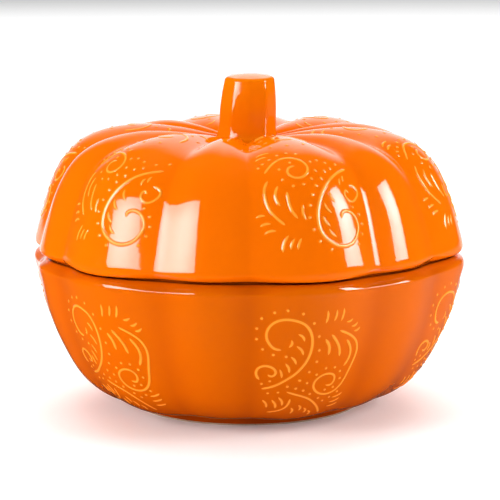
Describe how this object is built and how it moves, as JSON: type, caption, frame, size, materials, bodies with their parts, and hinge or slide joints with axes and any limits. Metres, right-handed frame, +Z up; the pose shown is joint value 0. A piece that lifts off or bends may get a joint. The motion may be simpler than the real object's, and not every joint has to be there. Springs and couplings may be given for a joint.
{
  "type": "lidded ceramic tureen",
  "caption": "Pumpkin-shaped glazed tureen: a lobed bowl on a foot ring with a domed lid that lifts off by its stem, trailed scrollwork on the big lobes.",
  "frame": {"origin": "centre of the foot ring, on the surface that the bowl stands on", "axes": "+Z up through the stem; -Y is the front, where a valley between two lobes faces"},
  "size_m": [0.2424, 0.239, 0.184],
  "materials": {
    "bowl_glaze": "thick glossy orange glaze, darker where it pools",
    "lid_glaze": "thick glossy bright orange glaze",
    "stem_glaze": "glossy orange glaze, thinner and paler on the edges",
    "bare_clay": "unglazed fired clay, matt"
  },
  "bodies": {
    "bowl": {"bowl_body": "bowl_glaze", "bowl_foot_ring": "bare_clay"},
    "lid": {"lid_dome": "lid_glaze", "lid_locating_ring": "lid_glaze", "stem_knob": "stem_glaze"}
  },
  "joints": [
    {"name": "lid_lift", "type": "slide", "parent": "bowl", "child": "lid", "axis": [0, 0, 1], "range_m": [0, 0.16]}
  ]
}
